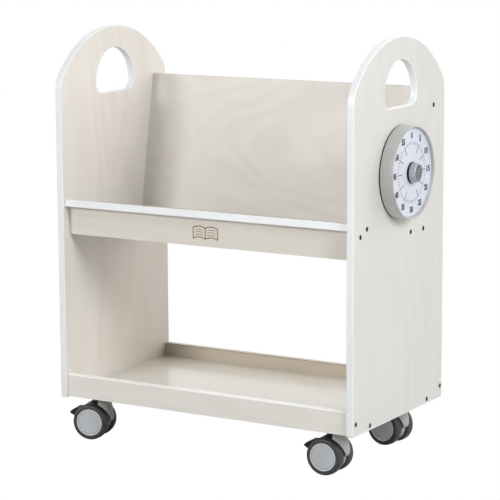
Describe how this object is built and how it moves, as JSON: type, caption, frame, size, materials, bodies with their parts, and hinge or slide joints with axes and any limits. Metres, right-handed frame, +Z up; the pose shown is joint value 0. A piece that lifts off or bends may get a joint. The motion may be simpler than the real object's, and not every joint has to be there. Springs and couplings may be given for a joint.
{
  "type": "book cart",
  "caption": "Rolling two-shelf book cart: arched side panels with hand holes, sloping upper shelf with leaning divider, lipped lower tray, braked twin-wheel casters and a round minute timer.",
  "frame": {"origin": "on the floor, midway between the two side panels and midway front to back", "axes": "+X towards the side panel that carries the timer, -Y towards the front, +Z up; rest pose has every joint at 0"},
  "size_m": [0.7456, 0.4, 0.8674],
  "materials": {
    "birch_ply": "whitewashed birch veneer, satin lacquer",
    "white_edge": "white edge banding, satin",
    "dowel_wood": "fluted beech, raw",
    "zinc_steel": "zinc plated",
    "grey_tyre": "charcoal thermoplastic rubber",
    "hub_grey": "light grey moulded plastic",
    "grey_plastic": "grey moulded plastic",
    "black_plastic": "black moulded plastic",
    "silver_plastic": "silver painted casing, satin",
    "dial_white": "printed white dial",
    "satin_metal": "satin turned knob"
  },
  "bodies": {
    "cart": {"left_side_panel": "birch_ply", "right_side_panel": "birch_ply", "upper_shelf": "birch_ply", "shelf_apron": "birch_ply", "divider_panel": "birch_ply", "lower_shelf": "birch_ply", "front_lip": "birch_ply", "rear_lip": "birch_ply", "left_panel_edge_band": "white_edge", "right_panel_edge_band": "white_edge", "left_hand_hole_edge_band": "white_edge", "right_hand_hole_edge_band": "white_edge", "upper_shelf_edge_band": "white_edge", "divider_edge_band": "white_edge", "front_lip_edge_band": "white_edge", "rear_lip_edge_band": "white_edge", "panel_screws": "zinc_steel", "alignment_dowels": "dowel_wood", "caster_plates": "zinc_steel", "caster_screws": "zinc_steel", "timer_backplate": "black_plastic", "timer_housing": "silver_plastic", "timer_dial": "dial_white", "timer_movement": "grey_plastic", "timer_screws": "zinc_steel"},
    "timer_knob": {"timer_knob": "satin_metal", "timer_knob_collar": "black_plastic", "timer_spindle": "zinc_steel"},
    "front_left_swivel": {"front_left_hood": "grey_plastic", "front_left_kingpin": "zinc_steel", "front_left_axle": "zinc_steel"},
    "front_left_front_wheel": {"front_left_front_wheel": "hub_grey", "front_left_front_tyre": "grey_tyre"},
    "front_left_rear_wheel": {"front_left_rear_wheel": "hub_grey", "front_left_rear_tyre": "grey_tyre"},
    "front_left_brake_pedal": {"front_left_brake_pedal": "black_plastic"},
    "front_right_swivel": {"front_right_hood": "grey_plastic", "front_right_kingpin": "zinc_steel", "front_right_axle": "zinc_steel"},
    "front_right_front_wheel": {"front_right_front_wheel": "hub_grey", "front_right_front_tyre": "grey_tyre"},
    "front_right_rear_wheel": {"front_right_rear_wheel": "hub_grey", "front_right_rear_tyre": "grey_tyre"},
    "front_right_brake_pedal": {"front_right_brake_pedal": "black_plastic"},
    "rear_left_swivel": {"rear_left_hood": "grey_plastic", "rear_left_kingpin": "zinc_steel", "rear_left_axle": "zinc_steel"},
    "rear_left_front_wheel": {"rear_left_front_wheel": "hub_grey", "rear_left_front_tyre": "grey_tyre"},
    "rear_left_rear_wheel": {"rear_left_rear_wheel": "hub_grey", "rear_left_rear_tyre": "grey_tyre"},
    "rear_left_brake_pedal": {"rear_left_brake_pedal": "black_plastic"},
    "rear_right_swivel": {"rear_right_hood": "grey_plastic", "rear_right_kingpin": "zinc_steel", "rear_right_axle": "zinc_steel"},
    "rear_right_front_wheel": {"rear_right_front_wheel": "hub_grey", "rear_right_front_tyre": "grey_tyre"},
    "rear_right_rear_wheel": {"rear_right_rear_wheel": "hub_grey", "rear_right_rear_tyre": "grey_tyre"},
    "rear_right_brake_pedal": {"rear_right_brake_pedal": "black_plastic"}
  },
  "joints": [
    {"name": "front_left_swivel", "type": "hinge", "parent": "cart", "child": "front_left_swivel", "pos_m": [-0.285, -0.1435, 0.091], "axis": [0, 0, 1], "continuous": true},
    {"name": "front_left_front_wheel_spin", "type": "hinge", "parent": "front_left_swivel", "child": "front_left_front_wheel", "pos_m": [-0.30065, -0.14683, 0.0385], "axis": [-0.2079, 0.9781, 0], "continuous": true},
    {"name": "front_left_rear_wheel_spin", "type": "hinge", "parent": "front_left_swivel", "child": "front_left_rear_wheel", "pos_m": [-0.30065, -0.14683, 0.0385], "axis": [-0.2079, 0.9781, 0], "continuous": true},
    {"name": "front_left_brake", "type": "hinge", "parent": "front_left_swivel", "child": "front_left_brake_pedal", "pos_m": [-0.30065, -0.14683, 0.0385], "axis": [0.2079, -0.9781, 0], "range_deg": [0, 10]},
    {"name": "front_right_swivel", "type": "hinge", "parent": "cart", "child": "front_right_swivel", "pos_m": [0.285, -0.1435, 0.091], "axis": [0, 0, 1], "continuous": true},
    {"name": "front_right_front_wheel_spin", "type": "hinge", "parent": "front_right_swivel", "child": "front_right_front_wheel", "pos_m": [0.269, -0.14378, 0.0385], "axis": [-0.0175, 0.9998, 0], "continuous": true},
    {"name": "front_right_rear_wheel_spin", "type": "hinge", "parent": "front_right_swivel", "child": "front_right_rear_wheel", "pos_m": [0.269, -0.14378, 0.0385], "axis": [-0.0175, 0.9998, 0], "continuous": true},
    {"name": "front_right_brake", "type": "hinge", "parent": "front_right_swivel", "child": "front_right_brake_pedal", "pos_m": [0.269, -0.14378, 0.0385], "axis": [0.0175, -0.9998, 0], "range_deg": [0, 10]},
    {"name": "rear_left_swivel", "type": "hinge", "parent": "cart", "child": "rear_left_swivel", "pos_m": [-0.285, 0.1195, 0.091], "axis": [0, 0, 1], "continuous": true},
    {"name": "rear_left_front_wheel_spin", "type": "hinge", "parent": "rear_left_swivel", "child": "rear_left_front_wheel", "pos_m": [-0.28444, 0.13549, 0.0385], "axis": [0.9994, -0.0349, 0], "continuous": true},
    {"name": "rear_left_rear_wheel_spin", "type": "hinge", "parent": "rear_left_swivel", "child": "rear_left_rear_wheel", "pos_m": [-0.28444, 0.13549, 0.0385], "axis": [0.9994, -0.0349, 0], "continuous": true},
    {"name": "rear_left_brake", "type": "hinge", "parent": "rear_left_swivel", "child": "rear_left_brake_pedal", "pos_m": [-0.28444, 0.13549, 0.0385], "axis": [-0.9994, 0.0349, 0], "range_deg": [0, 10]},
    {"name": "rear_right_swivel", "type": "hinge", "parent": "cart", "child": "rear_right_swivel", "pos_m": [0.285, 0.1195, 0.091], "axis": [0, 0, 1], "continuous": true},
    {"name": "rear_right_front_wheel_spin", "type": "hinge", "parent": "rear_right_swivel", "child": "rear_right_front_wheel", "pos_m": [0.26912, 0.12145, 0.0385], "axis": [0.1219, 0.9925, 0], "continuous": true},
    {"name": "rear_right_rear_wheel_spin", "type": "hinge", "parent": "rear_right_swivel", "child": "rear_right_rear_wheel", "pos_m": [0.26912, 0.12145, 0.0385], "axis": [0.1219, 0.9925, 0], "continuous": true},
    {"name": "rear_right_brake", "type": "hinge", "parent": "rear_right_swivel", "child": "rear_right_brake_pedal", "pos_m": [0.26912, 0.12145, 0.0385], "axis": [-0.1219, -0.9925, 0], "range_deg": [0, 10]},
    {"name": "timer_knob_turn", "type": "hinge", "parent": "cart", "child": "timer_knob", "pos_m": [0.374, 0, 0.5965], "axis": [-1, 0, 0], "range_deg": [0, 360]}
  ]
}
